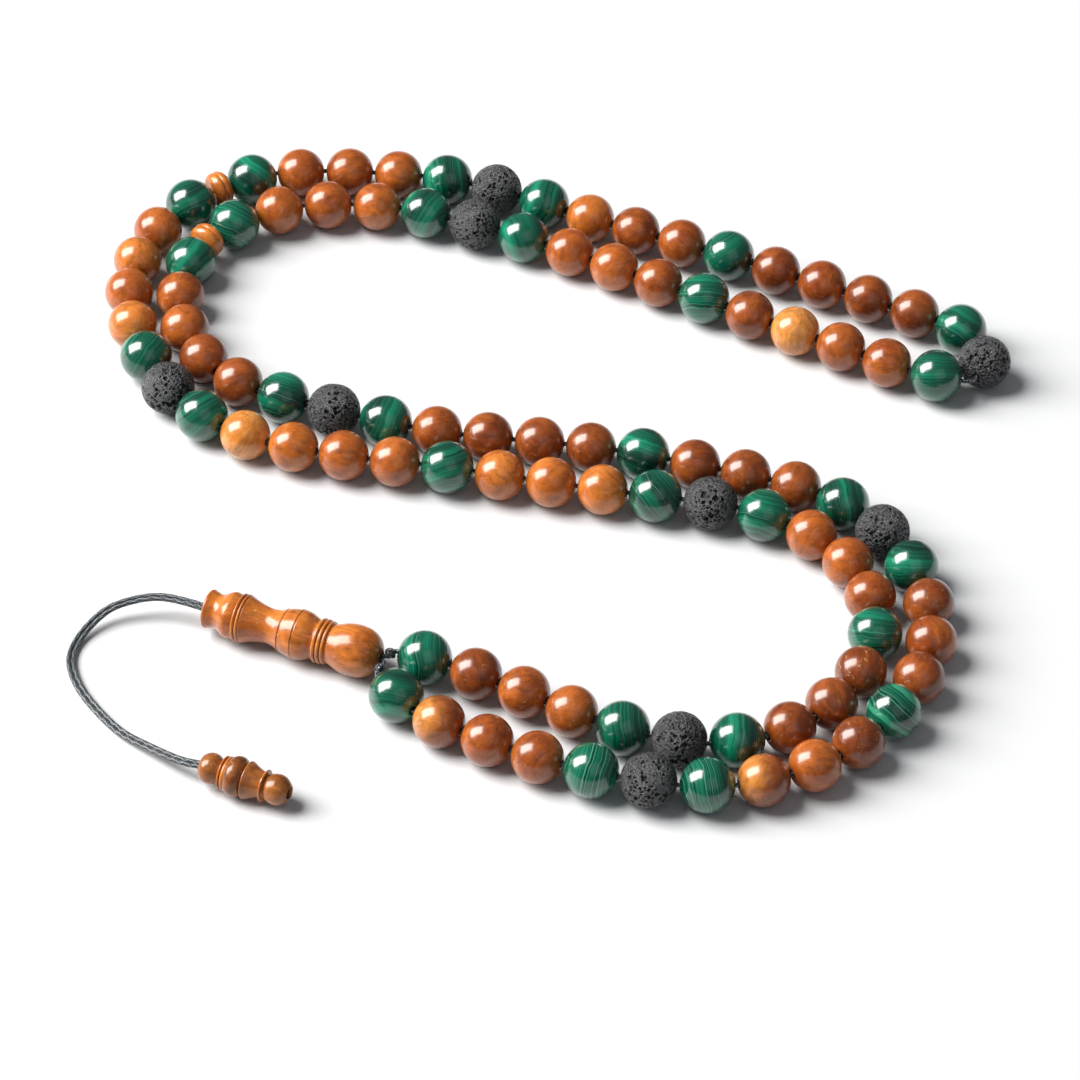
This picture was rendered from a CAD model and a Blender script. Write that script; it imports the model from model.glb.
"""Looks of the misbaha: nut, malachite and lava beads on a braided cord."""

import math

import bpy
import numpy as np
from mathutils import Matrix, Vector


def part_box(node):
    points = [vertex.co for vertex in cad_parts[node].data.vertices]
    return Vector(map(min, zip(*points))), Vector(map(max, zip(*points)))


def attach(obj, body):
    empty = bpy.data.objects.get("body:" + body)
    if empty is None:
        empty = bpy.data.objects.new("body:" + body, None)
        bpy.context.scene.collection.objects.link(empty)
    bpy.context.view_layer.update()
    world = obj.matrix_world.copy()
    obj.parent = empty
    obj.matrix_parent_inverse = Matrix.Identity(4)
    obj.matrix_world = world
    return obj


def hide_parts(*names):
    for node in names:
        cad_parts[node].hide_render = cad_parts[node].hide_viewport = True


MM = 0.001

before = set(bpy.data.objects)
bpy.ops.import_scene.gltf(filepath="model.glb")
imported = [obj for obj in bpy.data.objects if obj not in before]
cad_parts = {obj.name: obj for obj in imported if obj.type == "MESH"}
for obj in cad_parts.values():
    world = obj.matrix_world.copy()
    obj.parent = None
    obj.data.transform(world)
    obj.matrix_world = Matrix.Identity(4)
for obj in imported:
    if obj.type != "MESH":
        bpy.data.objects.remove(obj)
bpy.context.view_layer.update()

# ---------------------------------------------------------------- camera
VIEW_TARGET = Vector((-0.0021, -0.0142, 0.0))
VIEW_DISTANCE = 0.7733
VIEW_ELEVATION = math.radians(43.24)
LENS_MM = 164.8
SENSOR_MM = 36.0


def make_camera():
    data = bpy.data.cameras.new("camera")
    data.lens = LENS_MM
    data.sensor_width = SENSOR_MM
    data.clip_start = 0.05
    data.clip_end = 20.0
    camera = bpy.data.objects.new("camera", data)
    back = Vector((0.0, -math.cos(VIEW_ELEVATION), math.sin(VIEW_ELEVATION)))
    camera.location = VIEW_TARGET + VIEW_DISTANCE * back
    camera.rotation_euler = (math.pi / 2 - VIEW_ELEVATION, 0.0, 0.0)
    bpy.context.scene.collection.objects.link(camera)
    bpy.context.scene.camera = camera


make_camera()

# ---------------------------------------------------------------- the string's layout, in mm
# One letter per bead from the imam: G malachite, B brown nut, L lava, D flat divider.
ORDER = "GBBBGLGBBBGBBBGLGBBBGBBBBGLGBBBBGDGBBBGLGBBBGBBBBG"
COUNT = len(ORDER)
# Diameter, length along the bore, and height of the centre above the table.
BEAD_D = {"G": 8.4, "B": 8.0, "L": 8.6, "D": 6.0}
BEAD_LEN = {"G": 8.4, "B": 8.0, "L": 8.6, "D": 3.2}
BEAD_HIGH = {"G": 4.2, "B": 4.0, "L": 4.3, "D": 4.2}
BORE_R = 0.6
PLAY = 0.25
CORD_R = 0.375
RUN_SHIFT = 0.385
# The route of the two strands and the tail on the table, chosen by hand to follow the photo.
LAY_A = [
    [-24, -53], [-10, -62], [6, -68.5], [23, -71.5], [39, -67], [51, -56],
    [57.6, -40], [55, -24], [45, -10], [29, -3], [6, 3], [-19, 7],
    [-44, 15], [-57, 25], [-61, 41], [-57, 54], [-46, 62], [-29, 63],
    [-13, 58], [3, 51], [25, 39], [47, 27], [63, 19],
]
LAY_B = [
    [-19.5, -44.5], [-4.8, -51.5], [10, -59.6], [26, -62.5], [41, -55], [49, -39.5],
    [45.5, -23.5], [33, -13], [8, -7], [-16, -2], [-41, 3], [-57, 11],
    [-65.8, 25], [-69.5, 41], [-65.6, 57], [-56, 67], [-43, 72], [-18, 70],
    [6, 60], [29, 50], [52, 39], [69, 30],
]
TAIL_LAY = [
    [-60.5, -31, 3.8], [-64, -31, 3.3], [-68, -32, 2.4], [-71, -34.5, 1.3],
    [-73, -38, 0.6], [-73.5, -42, 0.5], [-72, -47, 0.5], [-69, -52, 0.5],
    [-65, -57, 0.7], [-60.5, -61, 1.6],
]
IMAM_TAIL = np.array([-53.0, -33.7, 4.05])
IMAM_TURN = -22.0
IMAM_LEN = 29.0
END_ENTRY = np.array([-52.4, -66.3, 3.18])
END_TURN = -23.6
SHOULDER = 8.4
TAIL_STRAIGHT = 4.5
FIRST_TURN = {"a": -56.0, "b": -16.0}
LAST_LEAN = 0.25
MOUTH_OUT = 0.15
BEND_STEPS = 6
BEND_PULL = 1.3
KNOT_SHARE = 0.54


def unit(v):
    v = np.asarray(v, float)
    return v / np.linalg.norm(v)


def flat(v):
    return unit([v[0], v[1], 0.0])


def heading(degrees):
    a = math.radians(degrees)
    return np.array([math.cos(a), math.sin(a), 0.0])


def spline(points, steps):
    p = np.asarray(points, float)
    q = np.vstack([2 * p[0] - p[1], p, 2 * p[-1] - p[-2]])
    out = []
    for i in range(len(p) - 1):
        a, b, c, d = q[i : i + 4]
        for k in range(steps):
            t = k / steps
            out.append(
                0.5 * (2 * b + (c - a) * t + (2 * a - 5 * b + 4 * c - d) * t * t
                       + (3 * b - a - 3 * c + d) * t**3)
            )
    out.append(p[-1])
    return np.array(out)


def run_lengths(p):
    return np.concatenate([[0.0], np.cumsum(np.linalg.norm(np.diff(p, axis=0), axis=1))])


def drawn_centres(lay):
    """Bead centres strung along a strand's drawn route, with the play between them."""
    stops = [0.0]
    for i in range(1, COUNT):
        stops.append(stops[-1] + (BEAD_LEN[ORDER[i - 1]] + BEAD_LEN[ORDER[i]]) / 2 + PLAY)
    line = spline(lay, 20)
    run = run_lengths(line)
    x = np.interp(stops, run, line[:, 0])
    y = np.interp(stops, run, line[:, 1])
    z = [BEAD_HIGH[k] for k in ORDER]
    return np.stack([x, y, z], axis=1)


def end_bead(last_a, last_b):
    """Centre of the shared lava bead, one play away from the last bead of both strands."""
    reach = (BEAD_D["G"] + BEAD_D["L"]) / 2 + PLAY
    half = np.linalg.norm(last_b - last_a) / 2
    away = unit([last_b[1] - last_a[1], last_a[0] - last_b[0], 0.0])
    c = (last_a + last_b) / 2 + away * math.sqrt(reach**2 - half**2)
    return np.array([c[0], c[1], BEAD_D["L"] / 2])


drawn = {"a": drawn_centres(LAY_A), "b": drawn_centres(LAY_B)}
end_centre = end_bead(drawn["a"][-1], drawn["b"][-1])


def passing(c, i, first):
    """The heading in which the cord passes bead i."""
    if i == 0:
        return heading(first)
    if i < COUNT - 1:
        return flat(flat(c[i] - c[i - 1]) + flat(c[i + 1] - c[i]))
    return flat((1 - LAST_LEAN) * flat(c[i] - c[i - 1]) + LAST_LEAN * flat(end_centre - c[i]))


def strand_line(c, first):
    """The cord's corners, halfway between the mouths of neighbouring beads."""
    def mouth(i, side):
        return c[i] + side * BEAD_LEN[ORDER[i]] / 2 * passing(c, i, first)

    line = [c[0] - (BEAD_D["G"] / 2 + MOUTH_OUT) * heading(first)]
    line += [(mouth(i, 1) + mouth(i + 1, -1)) / 2 for i in range(COUNT - 1)]
    line.append(c[-1] + (BEAD_D["G"] / 2 + MOUTH_OUT) * passing(c, COUNT - 1, first))
    return np.array(line)


def settled(c, line):
    """Bead centres moved onto the straight piece of cord that runs through each bead."""
    out = []
    for i in range(COUNT):
        d = flat(line[i + 1] - line[i])
        p = line[i] + ((c[i] - line[i]) @ d) * d
        out.append([p[0], p[1], c[i][2]])
    return np.array(out)


lines = {s: strand_line(drawn[s], FIRST_TURN[s]) for s in "ab"}
bores = {s: [unit(lines[s][i + 1] - lines[s][i]) for i in range(COUNT)] for s in "ab"}
centres = {s: settled(drawn[s], lines[s]) for s in "ab"}
end_bore = flat(flat(end_centre - drawn["a"][-1]) + flat(drawn["b"][-1] - end_centre))
end_mouth = (BEAD_D["L"] / 2 + MOUTH_OUT) * end_bore
imam_dir, imam_side = heading(IMAM_TURN), heading(IMAM_TURN + 90)
end_dir = heading(END_TURN)


def bend_point(p0, d0, p1, d1, t):
    """A point on the curve that leaves p0 along d0 and reaches p1 along d1."""
    pull = BEND_PULL * np.linalg.norm(p1 - p0)
    return (
        (2 * t**3 - 3 * t**2 + 1) * p0 + (t**3 - 2 * t**2 + t) * pull * d0
        + (3 * t**2 - 2 * t**3) * p1 + (t**3 - t**2) * pull * d1
    )


def bend(p0, d0, p1, d1):
    return [bend_point(p0, d0, p1, d1, k / BEND_STEPS) for k in range(1, BEND_STEPS)]


def imam_run(side, s):
    """A point of one of the two cords inside the imam, s mm from its tail face."""
    return IMAM_TAIL + s * imam_dir + side * RUN_SHIFT * imam_side


leave = {"a": imam_run(-1, IMAM_LEN), "b": imam_run(1, IMAM_LEN)}
into_end, out_of_end = end_centre - end_mouth, end_centre + end_mouth
loop_line = np.array(
    [imam_run(-1, 0), leave["a"]]
    + bend(leave["a"], imam_dir, lines["a"][0], bores["a"][0])
    + list(lines["a"])
    + bend(lines["a"][-1], bores["a"][-1], into_end, end_bore)
    + [into_end, out_of_end]
    + bend(out_of_end, end_bore, lines["b"][-1], -bores["b"][-1])
    + list(lines["b"][::-1])
    + bend(leave["b"], imam_dir, lines["b"][0], bores["b"][0])[::-1]
    + [leave["b"], imam_run(1, 0)]
)
tail_line = spline(
    [IMAM_TAIL, IMAM_TAIL - TAIL_STRAIGHT * imam_dir] + TAIL_LAY
    + [END_ENTRY - 3.4 * end_dir + np.array([-0.3, 0.2, -0.5]), END_ENTRY],
    12,
)


# ---------------------------------------------------------------- meshes
def link(obj):
    bpy.context.scene.collection.objects.link(obj)
    return obj


def quad_object(name, verts, quads, materials, face_material=None, caps=()):
    """A smooth mesh from vertices in mm and quads, with end caps as polygons."""
    mesh = bpy.data.meshes.new(name)
    verts = np.asarray(verts, np.float32) * MM
    quads = np.asarray(quads, np.int32)
    loops = [quads.ravel()] + [np.asarray(c, np.int32) for c in caps]
    sizes = [4] * len(quads) + [len(c) for c in caps]
    starts = np.concatenate([[0], np.cumsum(sizes)[:-1]]).astype(np.int32)
    mesh.vertices.add(len(verts))
    mesh.vertices.foreach_set("co", verts.ravel())
    mesh.loops.add(int(sum(sizes)))
    mesh.loops.foreach_set("vertex_index", np.concatenate(loops))
    mesh.polygons.add(len(sizes))
    mesh.polygons.foreach_set("loop_start", starts)
    for m in materials:
        mesh.materials.append(m)
    if face_material is not None:
        full = np.zeros(len(sizes), np.int32)
        full[: len(quads)] = face_material
        mesh.polygons.foreach_set("material_index", full)
    mesh.polygons.foreach_set("use_smooth", np.ones(len(sizes), bool))
    mesh.update(calc_edges=True)
    mesh.validate()
    return link(bpy.data.objects.new(name, mesh))


def ring_quads(rings, sides, closed):
    """Quads between consecutive rings of a tube or lathe, facing outward."""
    i = np.arange(rings if closed else rings - 1)[:, None]
    k = np.arange(sides)[None, :]
    a = i * sides + k
    b = i * sides + (k + 1) % sides
    up = ((i + 1) % rings) * sides
    return np.stack([a, b, up + (k + 1) % sides, up + k], axis=-1).reshape(-1, 4)


def lathe_points(outline, sides):
    """Rings round +Z for an outline of [radius, height] that goes up outside and down the bore."""
    w = 2 * math.pi * np.arange(sides) / sides
    o = np.asarray(outline, float)
    return np.stack(
        [o[:, :1] * np.cos(w), o[:, :1] * np.sin(w), np.repeat(o[:, 1:], sides, axis=1)],
        axis=-1,
    )


def bead_turn(direction, spin):
    """The turn of an object whose own +Z is its bore, with a spin round that bore."""
    d = unit(direction)
    x = unit(np.cross([0.0, 0.0, 1.0], d))
    y = np.cross(d, x)
    c, s = math.cos(spin), math.sin(spin)
    return np.stack([x, y, d], axis=1) @ np.array([[c, -s, 0], [s, c, 0], [0, 0, 1]])


def place(obj, centre, direction, spin=0.0):
    """Puts an object whose own +Z is its bore along a direction, at a point in mm."""
    turn = Matrix(bead_turn(direction, spin).tolist()).to_4x4()
    obj.matrix_world = Matrix.Translation(Vector(np.asarray(centre, float) * MM)) @ turn


def seen_from_camera(degrees, toward=0.0):
    """A direction given by its angle in the camera's view, and a share towards the camera."""
    right = np.array([1.0, 0.0, 0.0])
    up = np.array([0.0, math.sin(VIEW_ELEVATION), math.cos(VIEW_ELEVATION)])
    back = np.array([0.0, -math.cos(VIEW_ELEVATION), math.sin(VIEW_ELEVATION)])
    a = math.radians(degrees)
    return unit(math.cos(a) * right + math.sin(a) * up + toward * back)


def in_bead(direction, spin, v):
    """A world direction as the bead's own object coordinates have it."""
    return bead_turn(direction, spin).T @ v


def ripple(p, rng, waves, low, high):
    """A smooth random field over points, from a few seeded waves, about -1 to 1."""
    total = np.zeros(p.shape[:-1])
    for _ in range(waves):
        k = unit(rng.normal(size=3)) * rng.uniform(low, high)
        total += np.sin(p @ k + rng.uniform(0, 2 * math.pi))
    return total / math.sqrt(waves)


LIP_WIDTH = 0.26
POLISHED_CHIPS = 0.07
LAVA_CHIPS = 0.16


def bead_outline(radius, arc_steps):
    """Outline of a drilled round bead: the ball, and a rounded lip at each mouth."""
    lip = BORE_R + LIP_WIDTH
    low = math.asin(lip / radius)
    theta = np.linspace(math.pi - low, low, arc_steps)
    ball = np.stack([radius * np.sin(theta), radius * np.cos(theta)], axis=1)
    top = math.sqrt(radius**2 - lip**2)
    down = [[BORE_R + 0.14, top - 0.03], [BORE_R + 0.05, top - 0.12], [BORE_R, top - 0.3]]
    wall = [[BORE_R, z] for z in np.linspace(top - 1.2, -(top - 1.2), 4)]
    up = [[r, -z] for r, z in reversed(down)]
    return np.vstack([ball, down, wall, up]), arc_steps


def chip_mouths(points, radius, rng, amount):
    """Small irregular chips where the drill broke out at the two mouths."""
    edge = np.exp(-(((np.linalg.norm(points[..., :2], axis=-1) - BORE_R - 0.2) / 0.14) ** 2))
    near = np.abs(points[..., 2]) > radius * 0.9
    rough = np.clip(ripple(points, rng, 6, 2.5, 6.0), 0, None)
    points[..., 2] -= np.sign(points[..., 2]) * amount * edge * near * rough
    return points


def polished_bead(name, radius, material, seed):
    """A smooth round bead, up to about 0.02 mm out of round."""
    rng = np.random.default_rng(seed)
    sides, arc = 96, 54
    outline, n_arc = bead_outline(radius, arc)
    p = lathe_points(outline, sides)
    ball = p[:n_arc]
    swell = 1 + 0.0028 * ripple(ball / radius, rng, 5, 1.0, 2.6)
    p[:n_arc] = ball * np.minimum(swell, 1.0)[..., None]
    p = chip_mouths(p, radius, rng, POLISHED_CHIPS)
    return quad_object(name, p.reshape(-1, 3), ring_quads(len(outline), sides, True), [material])


PIT_TRIES = 1100
PIT_CLUSTERS = 9
CLUSTERED_SHARE = 0.72
CLUSTER_SPREAD = 0.34
PIT_SMALLEST = 0.115
PIT_LARGEST = 0.46
PIT_DEEPEST = 0.52
PIT_WALL = 1.06


def pit_field(unit_points, rng, radius):
    """How far each point of a lava bead sinks, from round and stretched gas bubbles."""
    sink = np.zeros(len(unit_points))
    homes = [unit(rng.normal(size=3)) for _ in range(PIT_CLUSTERS)]
    mids, sizes = np.zeros((0, 3)), np.zeros(0)
    for n in range(PIT_TRIES):
        if rng.random() < CLUSTERED_SHARE:
            c = unit(homes[rng.integers(len(homes))] + rng.normal(size=3) * CLUSTER_SPREAD)
        else:
            c = unit(rng.normal(size=3))
        size = min(PIT_SMALLEST + rng.exponential(0.085), PIT_LARGEST) / radius
        t = unit(np.cross(c, rng.normal(size=3)))
        stretch = rng.uniform(1.0, 1.5)
        if np.any(np.linalg.norm(mids - c, axis=1) < PIT_WALL * (sizes + size)):
            continue
        mids, sizes = np.vstack([mids, c]), np.append(sizes, size)
        reach = size * stretch * 1.3
        near = np.nonzero((unit_points @ c) > 1 - 0.5 * reach**2)[0]
        d = unit_points[near] - c
        along = d @ t
        across = np.sqrt(np.maximum((d * d).sum(-1) - along**2, 0))
        edge = 1 + 0.2 * np.sin(4 * np.arctan2(across, along) + n)
        x = np.sqrt((along / stretch) ** 2 + across**2) / (size * edge)
        bowl = np.sqrt(np.clip(1 - x**2, 0, 1)) ** 0.7
        sink[near] = np.maximum(sink[near], bowl * size * radius * rng.uniform(1.3, 1.9))
    return np.minimum(sink, PIT_DEEPEST)


def lava_bead(name, radius, material, seed):
    """A round bead of porous rock: grit, slight swell and modelled pits."""
    rng = np.random.default_rng(seed)
    sides, arc = 288, 156
    outline, n_arc = bead_outline(radius, arc)
    p = lathe_points(outline, sides)
    ball = p[:n_arc].reshape(-1, 3)
    u = ball / np.linalg.norm(ball, axis=1)[:, None]
    sink = pit_field(u, rng, radius)
    grit = 0.018 * ripple(u * radius, rng, 12, 7.0, 17.0) - 0.02
    swell = 0.02 * ripple(u * radius, rng, 5, 0.6, 1.6) - 0.03
    r = radius + np.minimum(grit + swell, 0.0) - sink
    p[:n_arc] = (u * r[:, None]).reshape(n_arc, sides, 3)
    p = chip_mouths(p, radius, rng, LAVA_CHIPS)
    return quad_object(name, p.reshape(-1, 3), ring_quads(len(outline), sides, True), [material])


def outline_line(rows, steps):
    """One smooth stretch of turned outline per row, corners between rows."""
    out = []
    for row in rows:
        for s, r in spline(row, steps):
            out.append([r, s])
    return out


# Turned outlines as [distance from the tail face or entry, radius]; corners lie between rows.
IMAM_OUTLINE = [
    [[0, 2.45], [0.2, 2.95], [0.5, 3.08], [1.1, 2.9], [1.9, 2.74], [2.7, 2.98], [3.4, 3.42],
     [4.1, 3.68], [4.8, 3.56], [5.3, 3.35]],
    [[5.38, 3.3], [5.44, 3.7], [5.65, 3.86], [5.88, 3.7], [5.94, 3.45]],
    [[6.02, 3.45], [6.08, 3.7], [6.3, 3.86], [6.52, 3.74], [6.58, 3.6]],
    [[6.66, 3.6], [6.72, 3.72], [7.4, 3.46], [8.6, 3.07], [10.4, 2.75], [11.8, 2.95],
     [12.7, 3.3], [12.88, 3.42]],
    [[12.94, 3.26], [13.08, 3.26]],
    [[13.12, 3.46], [14.2, 3.75], [15.3, 3.96]],
    [[15.36, 3.8], [15.5, 3.8]],
    [[15.56, 3.97], [16.6, 3.78], [17.6, 3.35], [18.2, 3.08], [18.55, 3.05]],
    [[18.6, 3.1], [18.68, 3.42], [18.92, 3.52], [19.16, 3.42], [19.24, 3.1]],
    [[19.34, 3.1], [19.42, 3.42], [19.66, 3.52], [19.9, 3.42], [19.98, 3.1]],
    [[20.08, 3.1], [20.16, 3.36], [20.36, 3.42], [20.56, 3.34], [20.62, 3.16]],
    [[20.7, 3.02], [21.7, 3.42], [23.1, 3.88], [24.8, 4.05], [26.5, 3.8], [27.9, 3],
     [28.7, 1.9], [29, 1.05]]
]
END_OUTLINE = [
    [[0, 1.1], [0.3, 1.75], [0.9, 2.2], [1.7, 2.4], [2.5, 2.25], [3.2, 1.8], [3.5, 1.68]],
    [[3.58, 1.75], [3.7, 2.5], [3.84, 2.6], [3.98, 2.52], [4.06, 2.2]],
    [[4.14, 2.2], [4.22, 2.58], [4.45, 2.7], [4.7, 2.66]],
    [[4.76, 2.6], [4.95, 2.86], [5.4, 3.1], [5.9, 3.18], [6.5, 3.06], [7.1, 2.6], [7.38, 2.15]],
    [[7.46, 2.15], [7.56, 2.78], [7.7, 2.93], [7.9, 2.9], [8.4, 2.68], [9, 2.38], [9.7, 2.12],
     [10.25, 2]],
    [[10.32, 2], [10.42, 2.4], [10.56, 2.48], [10.72, 2.4], [10.82, 1.9]],
    [[10.92, 1.8], [11.2, 2.02], [11.9, 2.28], [12.7, 2.36], [13.5, 2.15], [14.2, 1.62],
     [14.6, 1.15]]
]


def turned_object(name, rows, edges, bore, material, edge_material, seed):
    """A turned piece on +Z with its bore, given as [radius, height] going back down."""
    rng = np.random.default_rng(seed)
    sides, steps = 160, 10
    out = outline_line(rows, steps)
    outer = len(out)
    first, last = out[0], out[-1]
    back = [[(last[0] + bore[0][0]) / 2 + 0.03, last[1] - 0.03]] + bore
    back += [[(first[0] + bore[-1][0]) / 2 + 0.03, first[1] + 0.01]]
    outline = np.array(out + back)
    p = lathe_points(outline, sides)
    wobble = 1 - 0.004 * np.clip(ripple(p[:outer], rng, 6, 0.5, 1.8) + 0.6, 0, None)
    p[:outer, :, :2] *= wobble[..., None]
    edge = np.zeros(len(outline), bool)
    at = 0
    for n, row in enumerate(rows):
        size = (len(row) - 1) * steps + 1
        edge[at : at + size] = n in edges
        at += size
    faces = np.repeat(edge.astype(np.int32), sides)
    quads = ring_quads(len(outline), sides, True)
    return quad_object(name, p.reshape(-1, 3), quads, [material, edge_material], faces)


# ---------------------------------------------------------------- cord meshes
def smooth_line(points, step, spread):
    """Evenly spaced points along a line, with corners softened over a given spread."""
    p = np.asarray(points, float)
    run = run_lengths(p)
    n = max(int(run[-1] / step), 4)
    s = np.linspace(0, run[-1], n)
    q = np.stack([np.interp(s, run, p[:, k]) for k in range(3)], axis=1)
    half = max(int(2 * spread / step), 1)
    w = np.exp(-0.5 * (np.arange(-half, half + 1) * step / spread) ** 2)
    w /= w.sum()
    head = q[0] + (q[1] - q[0]) * np.arange(-half, 0)[:, None]
    tail = q[-1] + (q[-1] - q[-2]) * np.arange(1, half + 1)[:, None]
    r = np.vstack([head, q, tail])
    return np.stack([np.convolve(r[:, k], w, mode="valid") for k in range(3)], axis=1)


def braid(name, path, radius, materials, strands=4, pitch=1.9, sides=24, closed=False, side_hint=None):
    """A round braid swept along a line: raised strands cross over and under each other."""
    p = np.asarray(path, float)
    n = len(p)
    if closed:
        t = np.roll(p, -1, axis=0) - np.roll(p, 1, axis=0)
    else:
        t = np.gradient(p, axis=0)
    t /= np.linalg.norm(t, axis=1)[:, None]
    if side_hint is None:
        side = np.stack([t[:, 1], -t[:, 0], np.zeros(n)], axis=1)
    else:
        side = side_hint - (side_hint * t).sum(1)[:, None] * t
    side /= np.linalg.norm(side, axis=1)[:, None]
    up = np.cross(side, t)
    run = run_lengths(p)
    w = 2 * math.pi * np.arange(sides) / sides
    turn = 2 * math.pi * run[:, None] / pitch
    left = np.cos(strands * w[None, :] + turn)
    right = np.cos(strands * w[None, :] - turn)
    over = np.sin(strands * w[None, :]) * np.sin(turn) > 0
    lift = np.where(over, np.abs(left), np.abs(right))
    r = radius * (0.86 + 0.14 * lift)
    v = p[:, None, :] + r[..., None] * (
        np.cos(w)[None, :, None] * side[:, None, :] + np.sin(w)[None, :, None] * up[:, None, :]
    )
    quads = ring_quads(n, sides, closed)
    mid = (lift[:-1] + lift[1:]) / 2 if not closed else lift
    fleck = (mid > 0.93) & (over[:-1] if not closed else over)
    caps = [] if closed else [np.arange(sides)[::-1], (n - 1) * sides + np.arange(sides)]
    return quad_object(
        name, v.reshape(-1, 3), quads, materials, fleck.reshape(-1).astype(np.int32), caps
    )


def trefoil(centre, direction, size, length):
    """Centreline of a tight overhand knot round a direction, closed on itself."""
    d = unit(direction)
    x = unit(np.cross(d, [0.0, 0.0, 1.0]))
    y = np.cross(d, x)
    steps = 150
    a = 2 * math.pi * np.arange(steps) / steps
    radial = 0.62 + 0.38 * np.cos(3 * a)
    lift = np.sin(3 * a)
    return (
        np.asarray(centre)
        + size * (radial * np.cos(2 * a))[:, None] * x
        + size * (radial * np.sin(2 * a))[:, None] * y
        + length * lift[:, None] * d
    )


# ---------------------------------------------------------------- materials
class Nodes:
    """Short names for building one material's node tree."""

    def __init__(self, name):
        self.material = bpy.data.materials.new(name)
        self.material.use_nodes = True
        self.tree = self.material.node_tree
        self.tree.nodes.clear()
        out = self.tree.nodes.new("ShaderNodeOutputMaterial")
        self.bsdf = self.tree.nodes.new("ShaderNodeBsdfPrincipled")
        self.tree.links.new(self.bsdf.outputs[0], out.inputs[0])

    def new(self, kind, inputs=None, **settings):
        n = self.tree.nodes.new(kind)
        for key, value in settings.items():
            setattr(n, key, value)
        for key, value in (inputs or {}).items():
            self.put(n, key, value)
        return n

    def put(self, n, key, value):
        socket = n.inputs[key]
        if isinstance(value, bpy.types.NodeSocket):
            self.tree.links.new(value, socket)
        else:
            socket.default_value = value

    def set(self, key, value):
        self.put(self.bsdf, key, value)

    def math(self, op, a, b, clamp=False):
        n = self.new("ShaderNodeMath", operation=op, use_clamp=clamp)
        self.put(n, 0, a)
        self.put(n, 1, b)
        return n.outputs[0]

    def mix(self, factor, a, b, blend="MIX"):
        n = self.new("ShaderNodeMix", data_type="RGBA", blend_type=blend)
        self.put(n, 0, factor)
        for i, v in ((6, a), (7, b)):
            if not isinstance(v, bpy.types.NodeSocket):
                v = (*v[:3], 1.0)
            self.put(n, i, v)
        return n.outputs[2]

    def ramp(self, factor, stops):
        n = self.new("ShaderNodeValToRGB")
        elements = n.color_ramp.elements
        while len(elements) > 1:
            elements.remove(elements[-1])
        for i, (pos, colour) in enumerate(stops):
            e = elements[0] if i == 0 else elements.new(pos)
            e.position = pos
            c = colour if isinstance(colour, tuple) else (colour, colour, colour)
            e.color = (*c, 1.0)
        self.put(n, 0, factor)
        return n.outputs[0]

    def noise(self, vector, scale, detail, rough, distort=0.0, dims="3D"):
        n = self.new("ShaderNodeTexNoise", noise_dimensions=dims)
        self.put(n, "W" if dims == "1D" else "Vector", vector)
        self.put(n, "Scale", scale)
        self.put(n, "Detail", detail)
        self.put(n, "Roughness", rough)
        self.put(n, "Distortion", distort)
        return n.outputs[0]

    def place(self, turn=(0, 0, 0), move=(0, 0, 0)):
        """Object coordinates in mm, turned and moved."""
        coords = self.new("ShaderNodeTexCoord").outputs["Object"]
        n = self.new("ShaderNodeMapping")
        self.put(n, "Vector", coords)
        self.put(n, "Location", move)
        self.put(n, "Rotation", turn)
        self.put(n, "Scale", (1 / MM, 1 / MM, 1 / MM))
        return n.outputs[0]

    def stretch(self, vector, by):
        n = self.new("ShaderNodeVectorMath", operation="MULTIPLY")
        self.put(n, 0, vector)
        self.put(n, 1, by)
        return n.outputs[0]

    def add(self, a, b):
        n = self.new("ShaderNodeVectorMath", operation="ADD")
        self.put(n, 0, a)
        self.put(n, 1, b)
        return n.outputs[0]

    def distance(self, vector, point):
        n = self.new("ShaderNodeVectorMath", operation="DISTANCE")
        self.put(n, 0, vector)
        self.put(n, 1, point)
        return n.outputs["Value"]

    def bump(self, height, distance):
        n = self.new("ShaderNodeBump")
        self.put(n, "Height", height)
        self.put(n, "Distance", distance)
        self.put(n, "Strength", 1.0)
        return n.outputs[0]


# Per bead: direction in which the bands follow each other (degrees in the camera's view),
# distance in mm to the centre they curve round, and how strongly pale lines show.
MALACHITE = {
    "a01": (80, 18, 0.30), "b01": (5, 30, 0.45), "a05": (-14, 22, 0.95), "b05": (5, 40, 0.50),
    "a07": (14, 15, 1.00), "b07": (-4, 40, 0.55), "a11": (52, 11, 0.80), "b11": (86, 45, 0.40),
    "a15": (88, 40, 0.35), "b15": (70, 30, 0.30), "a17": (10, 40, 0.30),
}


# Beads whose bands curve round a point nearer than this also get broad pale bands.
EYE_MM = 12


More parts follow.
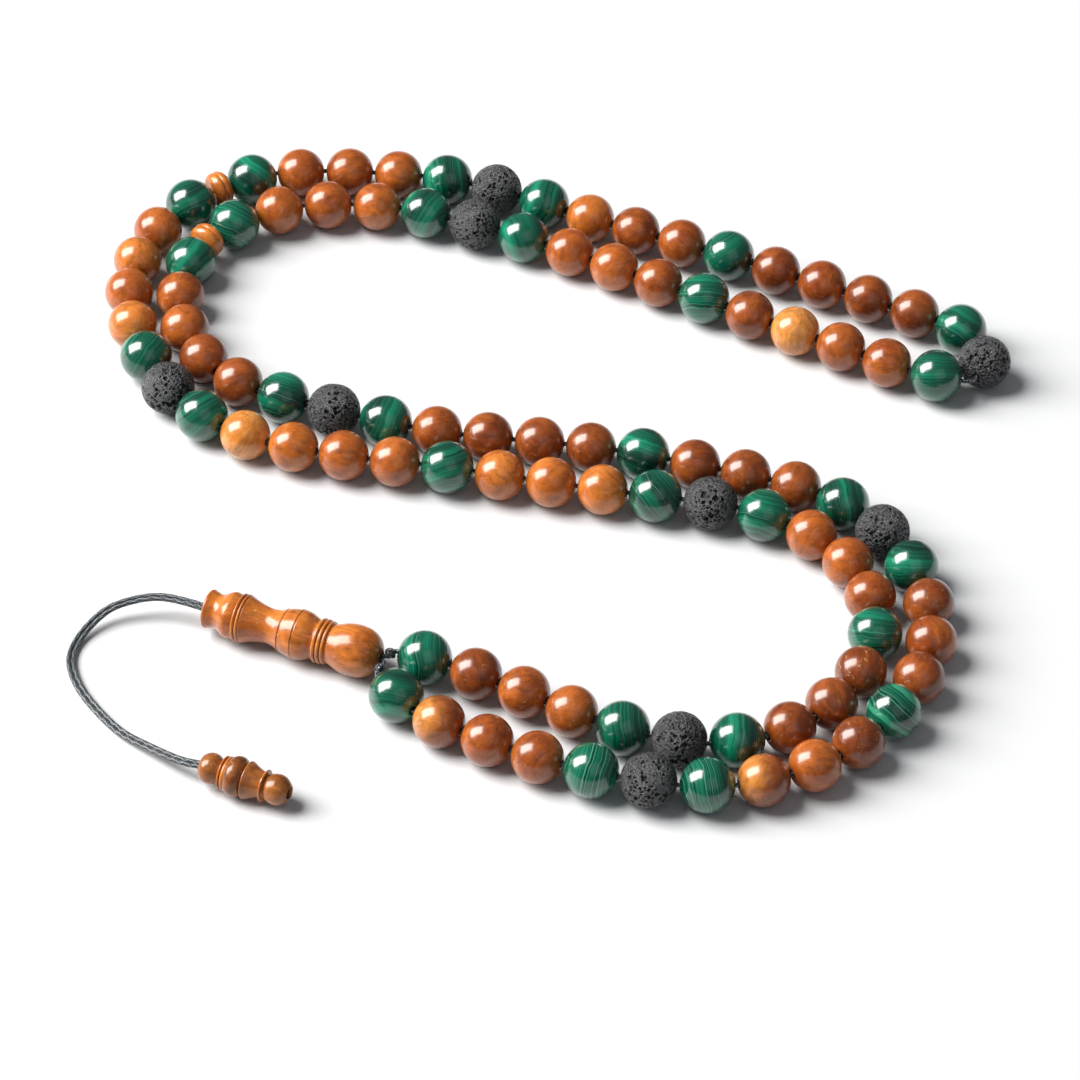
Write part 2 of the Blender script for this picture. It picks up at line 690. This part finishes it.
def malachite_material(name, seed, toward, bend_mm, contrast):
    """Banded green stone: parallel dark and mid green bands with thin pale lines, polished."""
    rng = np.random.default_rng(seed)
    m = Nodes(name)
    p = m.place()
    wander = m.noise(m.add(p, tuple(rng.uniform(-40, 40, 3))), 0.17, 2.5, 0.5)
    wander = m.math("MULTIPLY", m.math("SUBTRACT", wander, 0.5), 1.7)
    v = m.math("ADD", m.distance(p, tuple(float(bend_mm * k) for k in toward)), wander)
    v = m.math("ADD", v, float(rng.uniform(0, 60)))
    broad = m.noise(v, 0.34, 2.0, 0.5, dims="1D")
    bands = m.ramp(broad, [
        (0.30, (0.0004, 0.031, 0.018)),
        (0.44, (0.0006, 0.064, 0.035)),
        (0.56, (0.0010, 0.100, 0.053)),
        (0.70, (0.0040, 0.180, 0.098)),
    ])
    fine = m.noise(v, 3.1, 3.0, 0.75, dims="1D")
    k = 0.42 + 0.36 * contrast
    streak = m.ramp(fine, [(0.32, 1 - k), (0.46, 1 - 0.25 * k), (0.56, 1.0), (0.68, 1 + 0.7 * k)])
    colour = m.mix(1.0, bands, streak, "MULTIPLY")
    thin = m.noise(m.math("ADD", v, 17.3), 3.7, 2.0, 0.6, dims="1D")
    lines = m.ramp(thin, [(0.58, 0.0), (0.625, 1.0), (0.67, 0.15), (0.72, 0.9)])
    patch = m.ramp(m.noise(v, 0.5, 1.0, 0.5, dims="1D"), [(0.42, 0.15), (0.60, 1.0)])
    amount = m.math("MULTIPLY", m.math("MULTIPLY", lines, patch), 0.8 * contrast, clamp=True)
    colour = m.mix(amount, colour, (0.08, 0.40, 0.25))
    if bend_mm < EYE_MM:
        broad_pale = m.noise(m.math("ADD", v, 5.0), 0.42, 1.0, 0.4, dims="1D")
        wide = m.ramp(broad_pale, [(0.56, 0.0), (0.60, 1.0)])
        colour = m.mix(m.math("MULTIPLY", wide, 0.45), colour, (0.05, 0.40, 0.22))
    speck = m.ramp(m.noise(p, 6.5, 1.0, 0.5), [(0.735, 0.0), (0.775, 1.0)])
    colour = m.mix(m.math("MULTIPLY", speck, 0.30), colour, (0.22, 0.50, 0.36))
    m.set("Base Color", colour)
    m.set("Roughness", m.ramp(m.noise(p, 1.6, 3.0, 0.6), [(0.3, 0.17), (0.7, 0.24)]))
    m.set("IOR", 1.48)
    m.set("Coat Weight", 0.85)
    m.set("Coat Roughness", 0.14)
    m.set("Normal", m.bump(m.noise(p, 2.2, 3.0, 0.5), 0.000025))
    return m.material


# Dark and light colour of each tone: c common, r red-brown, o orange, g golden, y yellow, t two-toned,
# i imam, p end piece, e the turned edges of both.
NUT_TONES = {
    "c": ((0.215, 0.043, 0.006), (0.345, 0.086, 0.012)),
    "r": ((0.148, 0.029, 0.005), (0.262, 0.061, 0.010)),
    "o": ((0.285, 0.062, 0.008), (0.390, 0.102, 0.016)),
    "g": ((0.355, 0.088, 0.010), (0.500, 0.150, 0.024)),
    "y": ((0.480, 0.160, 0.024), (0.600, 0.240, 0.056)),
    "t": ((0.195, 0.038, 0.007), (0.470, 0.168, 0.032)),
    "i": ((0.315, 0.076, 0.010), (0.470, 0.140, 0.020)),
    "p": ((0.160, 0.046, 0.010), (0.300, 0.098, 0.020)),
    "e": ((0.360, 0.100, 0.014), (0.500, 0.170, 0.028)),
}


def nut_material(name, seed, tone, marks, grain_turn=None, coat=1.0, grain=1.0, pale=None):
    """Kuka nut: warm brown with soft clouds, curved streaks, fibres, pinholes and pale scratches."""
    rng = np.random.default_rng(seed)
    dark, light = NUT_TONES[tone]
    m = Nodes(name)
    turn = tuple(rng.uniform(0, 2 * math.pi, 3)) if grain_turn is None else grain_turn
    p = m.place(turn, move=tuple(rng.uniform(-40, 40, 3)))
    if tone == "t":
        here = m.place()
        side = m.distance(here, tuple(float(4.2 * k) for k in pale))
        side = m.math("ADD", side, m.math("MULTIPLY", m.noise(p, 0.5, 2.0, 0.5), 3.0))
        tone_mix = m.ramp(m.math("DIVIDE", side, 10.0), [(0.40, 1.0), (0.62, 0.25), (0.80, 0.0)])
    else:
        tone_mix = m.ramp(m.noise(p, 0.17, 3.0, 0.55, 0.8), [(0.38, 0.0), (0.60, 1.0)])
    colour = m.mix(tone_mix, dark, light)
    swirl_p = m.stretch(p, (0.30, 1.0, 1.0))
    swirl = m.noise(swirl_p, 0.55, 3.0, 0.6, 1.4)
    swirls = m.ramp(swirl, [(0.36, 0.64), (0.46, 0.93), (0.55, 1.04), (0.66, 1.26)])
    colour = m.mix(0.8 * grain, colour, swirls, "MULTIPLY")
    fibre_p = m.stretch(p, (0.14, 1.0, 1.0))
    bend_it = m.noise(p, 0.14, 1.0, 0.5)
    fibre_p = m.add(fibre_p, m.stretch(bend_it, (0.0, 2.6, 1.3)))
    fibre = m.noise(fibre_p, 3.0, 4.0, 0.7)
    fibres = m.ramp(fibre, [(0.32, 0.74), (0.46, 0.98), (0.66, 1.20)])
    colour = m.mix(0.75 * grain, colour, fibres, "MULTIPLY")
    cell = m.new("ShaderNodeTexVoronoi", {"Vector": p, "Scale": 0.85, "Randomness": 1.0})
    hole = m.ramp(cell.outputs["Distance"], [(0.0, 1.0), (0.05, 1.0), (0.085, 0.0)])
    hole_mask = m.ramp(m.noise(p, 0.4, 1.0, 0.5), [(0.50, 0.0), (0.58, 1.0)])
    hole = m.math("MULTIPLY", hole, hole_mask)
    colour = m.mix(m.math("MULTIPLY", hole, 0.85), colour, tuple(0.18 * c for c in dark))
    dots = m.new("ShaderNodeTexVoronoi", {"Vector": p, "Scale": 1.9, "Randomness": 1.0})
    pins = m.ramp(dots.outputs["Distance"], [(0.0, 1.0), (0.06, 1.0), (0.11, 0.0)])
    pin_mask = m.ramp(m.noise(p, 0.75, 1.0, 0.5), [(0.56, 0.0), (0.62, 1.0)])
    pins = m.math("MULTIPLY", m.math("MULTIPLY", pins, pin_mask), min(1.0, 1.2 * marks))
    colour = m.mix(pins, colour, (0.56, 0.31, 0.14))
    scratch_p = m.stretch(p, (0.30, 1.0, 1.0))
    scratch_n = m.noise(scratch_p, 0.95, 2.0, 0.5, 1.2)
    scratch = m.ramp(scratch_n, [(0.489, 0.0), (0.5, 1.0), (0.511, 0.0)])
    scratch_mask = m.ramp(m.noise(p, 0.85, 2.0, 0.7), [(0.54, 0.0), (0.60, 1.0)])
    scratch = m.math("MULTIPLY", m.math("MULTIPLY", scratch, scratch_mask), marks)
    colour = m.mix(scratch, colour, (0.72, 0.43, 0.20))
    m.set("Base Color", colour)
    m.set("Roughness", m.ramp(m.noise(p, 1.1, 3.0, 0.6), [(0.3, 0.27), (0.7, 0.40)]))
    m.set("IOR", 1.24)
    m.set("Coat Weight", coat)
    m.set("Coat Roughness", 0.19)
    height = m.math("SUBTRACT", m.math("MULTIPLY", fibre, 0.30), hole)
    height = m.math("SUBTRACT", height, m.math("MULTIPLY", scratch, 0.4))
    m.set("Normal", m.bump(height, 0.00006))
    return m.material


def lava_material(name, seed):
    """Porous basalt: charcoal, darker down in the pits, with glinting grit finer than they are."""
    rng = np.random.default_rng(seed)
    m = Nodes(name)
    p = m.place(move=tuple(rng.uniform(-40, 40, 3)))
    cloud = m.noise(p, 1.1, 4.0, 0.7)
    tone = m.ramp(cloud, [(0.3, (0.012, 0.0125, 0.015)), (0.7, (0.030, 0.030, 0.035))])
    grains = m.new("ShaderNodeTexVoronoi", {"Vector": p, "Scale": 5.0})
    pores = m.ramp(grains.outputs["Distance"], [(0.12, 1.0), (0.30, 0.0)])
    colour = m.mix(m.math("MULTIPLY", pores, 0.75), tone, (0.005, 0.005, 0.006))
    spark = m.ramp(m.noise(p, 9.0, 1.0, 0.5), [(0.63, 0.0), (0.70, 1.0)])
    colour = m.mix(m.math("MULTIPLY", spark, 0.8), colour, (0.26, 0.26, 0.28))
    depth = m.math("DIVIDE", m.distance(m.place(), (0.0, 0.0, 0.0)), BEAD_D["L"] / 2)
    colour = m.mix(m.ramp(depth, [(0.945, 0.92), (0.972, 0.0)]), colour, (0.003, 0.003, 0.004))
    m.set("Base Color", colour)
    m.set("Roughness", m.ramp(m.noise(p, 4.0, 2.0, 0.5), [(0.3, 0.20), (0.7, 0.38)]))
    m.set("IOR", 1.75)
    grit = m.noise(p, 6.5, 4.0, 0.78)
    height = m.math("SUBTRACT", grit, m.math("MULTIPLY", pores, 0.7))
    m.set("Normal", m.bump(height, 0.00019))
    return m.material


def cord_material(name, colour, rough):
    """Waxed braided thread."""
    m = Nodes(name)
    p = m.place()
    fibre = m.noise(p, 9.0, 3.0, 0.7)
    dark, light = (tuple(share * c for c in colour) for share in (0.6, 1.35))
    shade = m.ramp(fibre, [(0.3, dark), (0.7, light)])
    m.set("Base Color", shade)
    m.set("Roughness", rough)
    m.set("IOR", 1.48)
    m.set("Sheen Weight", 0.15)
    m.set("Normal", m.bump(fibre, 0.00003))
    return m.material


# ---------------------------------------------------------------- beads
# Tone of each nut bead by its place in the strand, judged from the photo.
NUT_A = {2: "t", 3: "c", 4: "c", 8: "t", 9: "o", 10: "r", 12: "r", 13: "c", 14: "r", 18: "r",
         19: "r", 20: "r", 22: "r", 23: "r", 24: "r", 25: "c", 29: "r", 30: "r", 31: "c", 32: "c",
         36: "o", 37: "c", 38: "o", 42: "o", 43: "o", 44: "c", 46: "r", 47: "y", 48: "c", 49: "c"}
NUT_B = {2: "r", 3: "c", 4: "c", 8: "r", 9: "r", 10: "r", 12: "c", 13: "o", 14: "o", 18: "g",
         19: "g", 20: "g", 22: "o", 23: "o", 24: "g", 25: "y", 29: "g", 30: "o", 31: "g", 32: "o",
         36: "o", 37: "c", 38: "c", 42: "g", 43: "r", 44: "c", 46: "r", 47: "c", 48: "r", 49: "r"}
NUT_TONE = {"a": NUT_A, "b": NUT_B}
# How strongly the pale pins and scratches of the nearest nut beads show; the others have FEW_MARKS.
MARKED = {
    "a03": 0.2, "a04": 0.4, "a10": 0.6, "a14": 0.5,
    "b02": 0.6, "b03": 1.0, "b04": 0.5, "b10": 0.9,
}
FEW_MARKS = 0.15
GROUPS = [(2, 10), (12, 20), (22, 32), (36, 44), (46, 49)]
CORD_BODY = "cord_and_nut_beads"
PLACE_TOLERANCE = 0.03


def group_of(strand, n):
    for low, high in GROUPS:
        if low <= n <= high:
            return f"nut_beads_{strand}_{low:02d}_to_{high:02d}"
    raise ValueError(n)


def check_place(node, centre):
    """The laid-out bead must sit where the CAD bead sits."""
    low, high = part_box(node)
    gap = ((low + high) / 2 - Vector(np.asarray(centre) * MM)).length
    if gap > PLACE_TOLERANCE * MM:
        raise ValueError(f"{node} is {gap / MM:.3f} mm off")


def add_bead(strand, i):
    """One bead of a strand, with its own material, on its body and in place of its CAD node."""
    kind, n = ORDER[i], i + 1
    tag = f"{strand}{n:02d}"
    seed = (1000 if strand == "a" else 2000) + n
    rng = np.random.default_rng(seed + 7)
    centre, bore = centres[strand][i], bores[strand][i]
    spin = float(rng.uniform(0, 2 * math.pi))
    if kind == "B":
        pale = in_bead(bore, spin, seen_from_camera(160, 0.55))
        marks = MARKED.get(tag, FEW_MARKS)
        mat = nut_material(f"nut_{tag}", seed, NUT_TONE[strand][n], marks, pale=pale)
        obj = polished_bead(f"nut_bead_{tag}", BEAD_D["B"] / 2, mat, seed)
        node, body, slot = group_of(strand, n), CORD_BODY, "kuka_nut"
    elif kind == "G":
        node = body = f"malachite_{tag}"
        by_chance = tuple(float(rng.uniform(*span)) for span in ((0, 180), (12, 45), (0.15, 0.45)))
        degrees, bend_mm, contrast = MALACHITE.get(tag, by_chance)
        toward = in_bead(bore, spin, seen_from_camera(degrees))
        mat = malachite_material(f"malachite_{tag}_stone", seed, toward, bend_mm, contrast)
        obj = polished_bead(f"{node}_bead", BEAD_D["G"] / 2, mat, seed)
        slot = "malachite"
    elif kind == "L":
        node = body = f"lava_{tag}"
        mat = lava_material(f"lava_{tag}_stone", seed)
        obj = lava_bead(f"{node}_bead", BEAD_D["L"] / 2, mat, seed)
        slot = "lava"
    else:
        node = body = f"divider_{strand}"
        mat = nut_material(f"divider_{strand}_nut", seed, "g", 0.1)
        obj = divider_bead(f"{node}_bead", mat, seed)
        slot = "kuka_nut"
    place(obj, centre, bore, spin)
    if kind != "B":
        check_place(node, centre)
    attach(obj, body)
    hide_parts(node)


def divider_bead(name, material, seed):
    """A flat turned disc with a rounded rim and a fine groove round it."""
    half, rad, rim = BEAD_LEN["D"] / 2, BEAD_D["D"] / 2, 1.32
    outer = [[BORE_R + 0.3, -half + 0.02], [1.3, -half]]
    for a in np.linspace(-90, -8, 14):
        w = math.radians(a)
        outer.append([rad - rim + rim * math.cos(w), -0.25 + rim * math.sin(w) - 0.03])
    outer += [[rad - 0.03, -0.16], [rad - 0.11, -0.07], [rad - 0.13, 0.0]]
    outer += [[r, -z] for r, z in reversed(outer[:-1])]
    lip = [[BORE_R + 0.08, half - 0.08], [BORE_R, half - 0.3], [BORE_R, 0.0],
           [BORE_R, -half + 0.3], [BORE_R + 0.08, -half + 0.08]]
    outline = outer + lip
    sides = 120
    p = lathe_points(outline, sides)
    rng = np.random.default_rng(seed)
    p = p * (1 - 0.004 * np.clip(ripple(p, rng, 5, 0.5, 1.8), 0, None))[..., None]
    return quad_object(name, p.reshape(-1, 3), ring_quads(len(outline), sides, True), [material])


for strand in "ab":
    for i in range(COUNT):
        add_bead(strand, i)

end_bead_obj = lava_bead("lava_end_bead", BEAD_D["L"] / 2, lava_material("lava_end_stone", 77), 77)
place(end_bead_obj, end_centre, end_bore)
check_place("lava_end", end_centre)
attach(end_bead_obj, "lava_end")
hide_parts("lava_end")

# ---------------------------------------------------------------- imam and end piece
ALONG_GRAIN = (0.0, math.pi / 2, 0.0)
IMAM_BORE_R = 0.9
POCKET_R = 1.1
POCKET_LEN = 2.4
ENTRY_BORE_R = 0.8
imam_material = nut_material("imam_nut", 301, "i", 0.7, ALONG_GRAIN, 0.85, 1.0)
imam_edges = nut_material("imam_nut_edges", 303, "e", 0.2, ALONG_GRAIN, 0.85, 0.5)
imam = turned_object(
    "imam_turned", IMAM_OUTLINE, (1, 2, 8, 9, 10),
    [[IMAM_BORE_R, s] for s in (28.6, 20.0, 9.0, 0.25)], imam_material, imam_edges, 301,
)
place(imam, IMAM_TAIL, imam_dir)
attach(imam, "imam")
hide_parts("imam")

end_material = nut_material("end_piece_nut", 302, "p", 0.8, ALONG_GRAIN, 0.70, 1.0)
end_edges = nut_material("end_piece_nut_edges", 304, "e", 0.3, ALONG_GRAIN, 0.70, 0.6)
end_piece = turned_object(
    "end_piece_turned", END_OUTLINE, (1, 2, 5),
    [[0.92, 14.4], [0.9, 14.1], [0.9, SHOULDER + POCKET_LEN + 0.05], [POCKET_R, SHOULDER + POCKET_LEN],
     [POCKET_R, SHOULDER + 0.05], [POCKET_R - 0.05, SHOULDER], [ENTRY_BORE_R + 0.03, SHOULDER],
     [ENTRY_BORE_R, SHOULDER - 0.05], [ENTRY_BORE_R, 4.0], [ENTRY_BORE_R, 0.2]],
    end_material, end_edges, 302,
)
place(end_piece, END_ENTRY, end_dir)
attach(end_piece, "end_piece")
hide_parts("end_piece")

# ---------------------------------------------------------------- cord
cord_dark = cord_material("cord_dark", (0.016, 0.021, 0.026), 0.32)
cord_fleck = cord_material("cord_fleck", (0.36, 0.40, 0.43), 0.40)
cord_parts = [cord_dark, cord_fleck]


def add_cord(obj, *nodes):
    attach(obj, CORD_BODY)
    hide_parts(*nodes)


CORNER_SPREAD = 0.22
SHOWN_MM = 0.75
SHOWN_STEP = 2
HIDDEN_STEP = 24


def loop_path():
    """Fine steps where the cord shows between beads, coarse steps inside them."""
    dense = smooth_line(loop_line, 0.05, CORNER_SPREAD)
    run = run_lengths(dense)
    corner = run_lengths(loop_line)
    near = np.min(np.abs(run[:, None] - corner[None, :]), axis=1) < SHOWN_MM
    keep = near & (np.arange(len(run)) % SHOWN_STEP == 0)
    keep |= np.arange(len(run)) % HIDDEN_STEP == 0
    keep[0] = keep[-1] = True
    return dense[keep]


add_cord(braid("loop_cord_braid", loop_path(), CORD_R, cord_parts, sides=16), "loop_cord")

for letter, side in (("a", -1), ("b", 1)):
    way = np.gradient(tail_line, axis=0)
    way /= np.linalg.norm(way, axis=1)[:, None]
    way[0], way[-1] = -imam_dir, end_dir
    beside = np.stack([way[:, 1], -way[:, 0], np.zeros(len(way))], axis=1)
    beside /= np.linalg.norm(beside, axis=1)[:, None]
    route = list(tail_line + side * RUN_SHIFT * beside)
    route.append(END_ENTRY + (SHOULDER + 0.4) * end_dir + side * RUN_SHIFT * beside[-1])
    centreline = smooth_line(route, 0.08, 0.25)
    piece = braid(f"tail_cord_{letter}_braid", centreline, CORD_R, cord_parts, sides=24)
    add_cord(piece, f"tail_cord_{letter}")

KNOT_BRAID = {"strands": 3, "pitch": 1.1, "sides": 12, "closed": True}

for letter in "ab":
    way = lines[letter][0] - leave[letter]
    centre = bend_point(leave[letter], imam_dir, lines[letter][0], bores[letter][0], KNOT_SHARE)
    path = trefoil(centre, way, 0.58, 0.40)
    knot = braid(f"knot_{letter}_tied", path, 0.36, cord_parts, side_hint=path - centre, **KNOT_BRAID)
    add_cord(knot, f"knot_{letter}")

knot_centre = END_ENTRY + (SHOULDER + 0.95) * end_dir
path = trefoil(knot_centre, end_dir, 0.52, 0.5)
hidden = braid("end_knot_tied", path, 0.33, cord_parts, side_hint=path - knot_centre, **KNOT_BRAID)
add_cord(hidden, "end_knot")


# ---------------------------------------------------------------- room and light
FLOOR_HALF = 3.0
FLOOR_BELOW = 0.02


def make_room():
    """A white table top, and a pale room round it."""
    m = Nodes("floor_white")
    m.set("Base Color", (0.62, 0.624, 0.635, 1.0))
    m.set("Roughness", 0.5)
    mesh = bpy.data.meshes.new("floor")
    s = FLOOR_HALF
    mesh.from_pydata([(-s, -s, 0), (s, -s, 0), (s, s, 0), (-s, s, 0)], [], [(0, 1, 2, 3)])
    mesh.materials.append(m.material)
    floor = link(bpy.data.objects.new("floor", mesh))
    floor.location.z = -FLOOR_BELOW * MM

    # The room lights the beads softly, and the camera sees it pale.
    world = bpy.data.worlds.new("world")
    world.use_nodes = True
    tree = world.node_tree
    room_light = tree.nodes["Background"]
    room_light.inputs[0].default_value = (0.88, 0.94, 1.0, 1.0)
    room_light.inputs[1].default_value = 0.15
    room_seen = tree.nodes.new("ShaderNodeBackground")
    room_seen.inputs[0].default_value = (0.88, 0.89, 0.90, 1.0)
    ray = tree.nodes.new("ShaderNodeLightPath")
    choice = tree.nodes.new("ShaderNodeMixShader")
    tree.links.new(ray.outputs["Is Camera Ray"], choice.inputs[0])
    tree.links.new(room_light.outputs[0], choice.inputs[1])
    tree.links.new(room_seen.outputs[0], choice.inputs[2])
    tree.links.new(choice.outputs[0], tree.nodes["World Output"].inputs[0])
    bpy.context.scene.world = world


def softbox(name, direction, distance, size, power, colour):
    """A rectangular lamp that faces the origin from a direction."""
    data = bpy.data.lights.new(name, "AREA")
    data.shape = "RECTANGLE"
    data.size, data.size_y = size
    data.energy = power
    data.color = colour
    lamp = bpy.data.objects.new(name, data)
    d = Vector(direction).normalized()
    lamp.location = d * distance
    lamp.rotation_mode = "QUATERNION"
    lamp.rotation_quaternion = d.to_track_quat("Z", "Y")
    return link(lamp)


make_room()
softbox("key_softbox", (-0.70, 0.10, 0.70), 1.65, (0.97, 1.54), 75.0, (1.0, 0.99, 0.97))
softbox("fill_softbox", (0.35, -0.8, 0.9), 1.1, (0.9, 0.9), 0.9, (0.93, 0.96, 1.0))

bpy.context.scene.view_settings.view_transform = "Standard"
